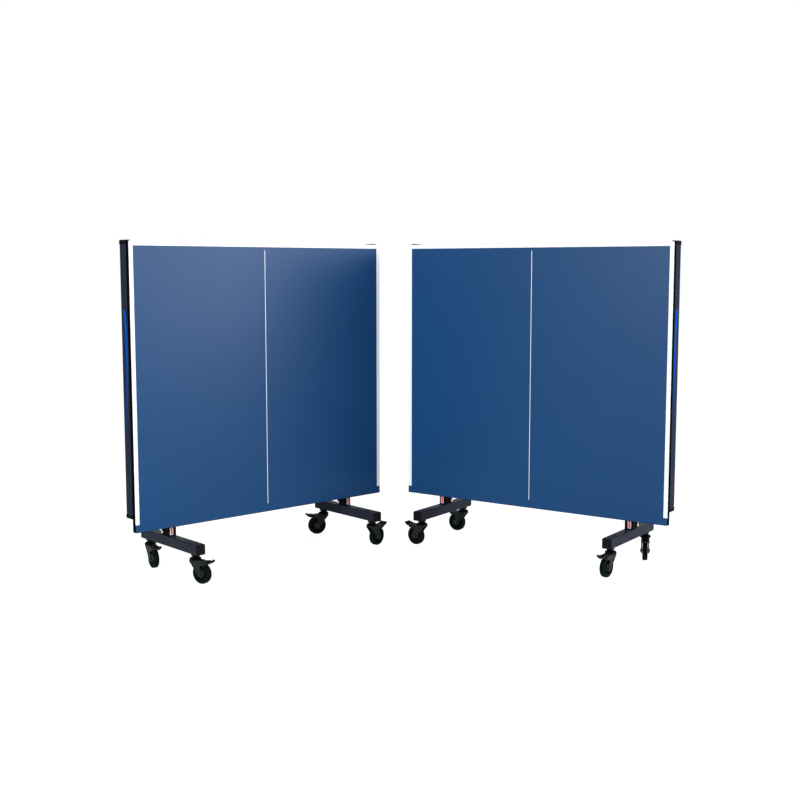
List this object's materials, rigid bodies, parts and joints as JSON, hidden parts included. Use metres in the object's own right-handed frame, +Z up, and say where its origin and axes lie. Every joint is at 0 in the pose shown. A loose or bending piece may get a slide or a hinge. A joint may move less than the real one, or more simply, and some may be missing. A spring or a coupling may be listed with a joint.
{
  "type": "folding table tennis table",
  "caption": "Indoor table tennis table in separate halves, each folded upright on a wheeled chassis with braked swivel casters.",
  "frame": {"origin": "on the floor under the middle of the whole object's box", "axes": "+X across both halves to the right, +Y to the back, -Y is the open side of the V that the playing surfaces face, +Z up"},
  "size_m": [2.6506, 1.2428, 1.613],
  "materials": {
    "table_top": "matt painted playing surface",
    "rail_paint": "navy charcoal powder coat",
    "frame_paint": "dark charcoal powder coat",
    "black_plastic": "fine moulded texture",
    "fork_plastic": "moulded, satin",
    "zinc": "zinc plated",
    "tyre": "matt rubber"
  },
  "bodies": {
    "left_chassis": {"left_base_arms": "frame_paint", "left_arm_caps": "black_plastic", "left_post_shoes": "black_plastic", "left_posts": "frame_paint", "left_crossbars": "frame_paint", "left_chassis_pins": "zinc"},
    "left_top": {"left_board": "table_top", "left_side_aprons": "rail_paint", "left_end_apron": "rail_paint", "left_apron_caps": "black_plastic", "left_board_frame": "frame_paint", "left_hinge_saddles": "frame_paint"},
    "left_leg_frame": {"left_legs": "frame_paint", "left_leg_pins": "zinc"},
    "left_links": {"left_link_bars": "frame_paint"},
    "left_lock": {"left_lock_pin": "zinc"},
    "left_levelling_foot_a": {"left_foot_a": "black_plastic"},
    "left_levelling_foot_b": {"left_foot_b": "black_plastic"},
    "left_outer_front_caster": {"left_outer_front_fork": "fork_plastic"},
    "left_outer_front_roller": {"left_outer_front_wheel": "tyre"},
    "left_outer_front_brake": {"left_outer_front_pedal": "black_plastic"},
    "left_outer_rear_caster": {"left_outer_rear_fork": "fork_plastic"},
    "left_outer_rear_roller": {"left_outer_rear_wheel": "tyre"},
    "left_outer_rear_brake": {"left_outer_rear_pedal": "black_plastic"},
    "left_inner_front_caster": {"left_inner_front_fork": "fork_plastic"},
    "left_inner_front_roller": {"left_inner_front_wheel": "tyre"},
    "left_inner_front_brake": {"left_inner_front_pedal": "black_plastic"},
    "left_inner_rear_caster": {"left_inner_rear_fork": "fork_plastic"},
    "left_inner_rear_roller": {"left_inner_rear_wheel": "tyre"},
    "left_inner_rear_brake": {"left_inner_rear_pedal": "black_plastic"},
    "right_chassis": {"right_base_arms": "frame_paint", "right_arm_caps": "black_plastic", "right_post_shoes": "black_plastic", "right_posts": "frame_paint", "right_crossbars": "frame_paint", "right_chassis_pins": "zinc"},
    "right_top": {"right_board": "table_top", "right_side_aprons": "rail_paint", "right_end_apron": "rail_paint", "right_apron_caps": "black_plastic", "right_board_frame": "frame_paint", "right_hinge_saddles": "frame_paint"},
    "right_leg_frame": {"right_legs": "frame_paint", "right_leg_pins": "zinc"},
    "right_links": {"right_link_bars": "frame_paint"},
    "right_lock": {"right_lock_pin": "zinc"},
    "right_levelling_foot_a": {"right_foot_a": "black_plastic"},
    "right_levelling_foot_b": {"right_foot_b": "black_plastic"},
    "right_outer_front_caster": {"right_outer_front_fork": "fork_plastic"},
    "right_outer_front_roller": {"right_outer_front_wheel": "tyre"},
    "right_outer_front_brake": {"right_outer_front_pedal": "black_plastic"},
    "right_outer_rear_caster": {"right_outer_rear_fork": "fork_plastic"},
    "right_outer_rear_roller": {"right_outer_rear_wheel": "tyre"},
    "right_outer_rear_brake": {"right_outer_rear_pedal": "black_plastic"},
    "right_inner_front_caster": {"right_inner_front_fork": "fork_plastic"},
    "right_inner_front_roller": {"right_inner_front_wheel": "tyre"},
    "right_inner_front_brake": {"right_inner_front_pedal": "black_plastic"},
    "right_inner_rear_caster": {"right_inner_rear_fork": "fork_plastic"},
    "right_inner_rear_roller": {"right_inner_rear_wheel": "tyre"},
    "right_inner_rear_brake": {"right_inner_rear_pedal": "black_plastic"}
  },
  "joints": [
    {"name": "board_fold_left", "type": "hinge", "parent": "left_chassis", "child": "left_top", "pos_m": [-0.73725, -0.01021, 0.705], "axis": [-0.7431, -0.6691, 0], "range_deg": [0, 90]},
    {"name": "leg_fold_left", "type": "hinge", "parent": "left_top", "child": "left_leg_frame", "pos_m": [-0.73725, -0.01021, 1.47], "axis": [-0.7431, -0.6691, 0], "range_deg": [-90, 0]},
    {"name": "link_fold_left", "type": "hinge", "parent": "left_chassis", "child": "left_links", "pos_m": [-0.78743, 0.04553, 0.625], "axis": [-0.7431, -0.6691, 0], "range_deg": [0, 90]},
    {"name": "foot_a_left", "type": "slide", "parent": "left_leg_frame", "child": "left_levelling_foot_a", "axis": [0, 0, 1], "range_m": [-0.01, 0.01]},
    {"name": "foot_b_left", "type": "slide", "parent": "left_leg_frame", "child": "left_levelling_foot_b", "axis": [0, 0, 1], "range_m": [-0.01, 0.01]},
    {"name": "lock_left", "type": "slide", "parent": "left_chassis", "child": "left_lock", "axis": [-0.7431, -0.6691, 0], "range_m": [0, 0.012]},
    {"name": "swivel_left_outer_front", "type": "hinge", "parent": "left_chassis", "child": "left_outer_front_caster", "pos_m": [-0.9894, -0.55212, 0.112], "axis": [0, 0, 1], "continuous": true},
    {"name": "wheel_left_outer_front", "type": "hinge", "parent": "left_outer_front_caster", "child": "left_outer_front_roller", "pos_m": [-0.95563, -0.57162, 0.05], "axis": [0.5, 0.866, 0], "continuous": true},
    {"name": "pedal_left_outer_front", "type": "hinge", "parent": "left_outer_front_caster", "child": "left_outer_front_brake", "pos_m": [-0.93571, -0.58312, 0.1], "axis": [0.5, 0.866, 0], "range_deg": [0, 15]},
    {"name": "swivel_left_outer_rear", "type": "hinge", "parent": "left_chassis", "child": "left_outer_rear_caster", "pos_m": [-1.26843, -0.24223, 0.112], "axis": [0, 0, 1], "continuous": true},
    {"name": "wheel_left_outer_rear", "type": "hinge", "parent": "left_outer_rear_caster", "child": "left_outer_rear_roller", "pos_m": [-1.24719, -0.27494, 0.05], "axis": [0.8387, 0.5446, 0], "continuous": true},
    {"name": "pedal_left_outer_rear", "type": "hinge", "parent": "left_outer_rear_caster", "child": "left_outer_rear_brake", "pos_m": [-1.23466, -0.29423, 0.1], "axis": [0.8387, 0.5446, 0], "range_deg": [0, 15]},
    {"name": "swivel_left_inner_front", "type": "hinge", "parent": "left_chassis", "child": "left_inner_front_caster", "pos_m": [-0.17194, 0.18392, 0.112], "axis": [0, 0, 1], "continuous": true},
    {"name": "wheel_left_inner_front", "type": "hinge", "parent": "left_inner_front_caster", "child": "left_inner_front_roller", "pos_m": [-0.1474, 0.21423, 0.05], "axis": [-0.7771, 0.6293, 0], "continuous": true},
    {"name": "pedal_left_inner_front", "type": "hinge", "parent": "left_inner_front_caster", "child": "left_inner_front_brake", "pos_m": [-0.13292, 0.2321, 0.1], "axis": [-0.7771, 0.6293, 0], "range_deg": [0, 15]},
    {"name": "swivel_left_inner_rear", "type": "hinge", "parent": "left_chassis", "child": "left_inner_rear_caster", "pos_m": [-0.45097, 0.49381, 0.112], "axis": [0, 0, 1], "continuous": true},
    {"name": "wheel_left_inner_rear", "type": "hinge", "parent": "left_inner_rear_caster", "child": "left_inner_rear_roller", "pos_m": [-0.48713, 0.4792, 0.05], "axis": [0.3746, -0.9272, 0], "continuous": true},
    {"name": "pedal_left_inner_rear", "type": "hinge", "parent": "left_inner_rear_caster", "child": "left_inner_rear_brake", "pos_m": [-0.50846, 0.47059, 0.1], "axis": [0.3746, -0.9272, 0], "range_deg": [0, 15]},
    {"name": "board_fold_right", "type": "hinge", "parent": "right_chassis", "child": "right_top", "pos_m": [0.68235, 0.08134, 0.705], "axis": [-0.8192, 0.5736, 0], "range_deg": [0, 90]},
    {"name": "leg_fold_right", "type": "hinge", "parent": "right_top", "child": "right_leg_frame", "pos_m": [0.68235, 0.08134, 1.47], "axis": [-0.8192, 0.5736, 0], "range_deg": [-90, 0]},
    {"name": "link_fold_right", "type": "hinge", "parent": "right_chassis", "child": "right_links", "pos_m": [0.72537, 0.14277, 0.625], "axis": [-0.8192, 0.5736, 0], "range_deg": [0, 90]},
    {"name": "foot_a_right", "type": "slide", "parent": "right_leg_frame", "child": "right_levelling_foot_a", "axis": [0, 0, 1], "range_m": [-0.01, 0.01]},
    {"name": "foot_b_right", "type": "slide", "parent": "right_leg_frame", "child": "right_levelling_foot_b", "axis": [0, 0, 1], "range_m": [-0.01, 0.01]},
    {"name": "lock_right", "type": "slide", "parent": "right_chassis", "child": "right_lock", "axis": [-0.8192, 0.5736, 0], "range_m": [0, 0.012]},
    {"name": "swivel_right_outer_front", "type": "hinge", "parent": "right_chassis", "child": "right_outer_front_caster", "pos_m": [0.99867, -0.42581, 0.112], "axis": [0, 0, 1], "continuous": true},
    {"name": "wheel_right_outer_front", "type": "hinge", "parent": "right_outer_front_caster", "child": "right_outer_front_roller", "pos_m": [0.97412, -0.45612, 0.05], "axis": [0.7771, -0.6293, 0], "continuous": true},
    {"name": "pedal_right_outer_front", "type": "hinge", "parent": "right_outer_front_caster", "child": "right_outer_front_brake", "pos_m": [0.95965, -0.474, 0.1], "axis": [0.7771, -0.6293, 0], "range_deg": [0, 15]},
    {"name": "swivel_right_outer_rear", "type": "hinge", "parent": "right_chassis", "child": "right_outer_rear_caster", "pos_m": [1.23785, -0.08423, 0.112], "axis": [0, 0, 1], "continuous": true},
    {"name": "wheel_right_outer_rear", "type": "hinge", "parent": "right_outer_rear_caster", "child": "right_outer_rear_roller", "pos_m": [1.22974, -0.12237, 0.05], "axis": [0.9781, -0.2079, 0], "continuous": true},
    {"name": "pedal_right_outer_rear", "type": "hinge", "parent": "right_outer_rear_caster", "child": "right_outer_rear_brake", "pos_m": [1.22496, -0.14487, 0.1], "axis": [0.9781, -0.2079, 0], "range_deg": [0, 15]},
    {"name": "swivel_right_inner_front", "type": "hinge", "parent": "right_chassis", "child": "right_inner_front_caster", "pos_m": [0.0976, 0.20512, 0.112], "axis": [0, 0, 1], "continuous": true},
    {"name": "wheel_right_inner_front", "type": "hinge", "parent": "right_inner_front_caster", "child": "right_inner_front_roller", "pos_m": [0.06687, 0.22913, 0.05], "axis": [-0.6157, -0.788, 0], "continuous": true},
    {"name": "pedal_right_inner_front", "type": "hinge", "parent": "right_inner_front_caster", "child": "right_inner_front_brake", "pos_m": [0.04874, 0.24329, 0.1], "axis": [-0.6157, -0.788, 0], "range_deg": [0, 15]},
    {"name": "swivel_right_inner_rear", "type": "hinge", "parent": "right_chassis", "child": "right_inner_rear_caster", "pos_m": [0.33678, 0.54671, 0.112], "axis": [0, 0, 1], "continuous": true},
    {"name": "wheel_right_inner_rear", "type": "hinge", "parent": "right_inner_rear_caster", "child": "right_inner_rear_roller", "pos_m": [0.30445, 0.56852, 0.05], "axis": [-0.5592, -0.829, 0], "continuous": true},
    {"name": "pedal_right_inner_rear", "type": "hinge", "parent": "right_inner_rear_caster", "child": "right_inner_rear_brake", "pos_m": [0.28538, 0.58138, 0.1], "axis": [-0.5592, -0.829, 0], "range_deg": [0, 15]},
    {"name": "bring_together", "type": "hinge", "parent": "left_chassis", "child": "right_chassis", "pos_m": [-0.02727, 0.002, 0], "axis": [0, 0, -1], "range_deg": [0, 103]}
  ],
  "couplings": [
    {"joint": "leg_fold_left", "follows": "board_fold_left", "ratio": -1},
    {"joint": "link_fold_left", "follows": "board_fold_left", "ratio": 1},
    {"joint": "leg_fold_right", "follows": "board_fold_right", "ratio": -1},
    {"joint": "link_fold_right", "follows": "board_fold_right", "ratio": 1}
  ]
}
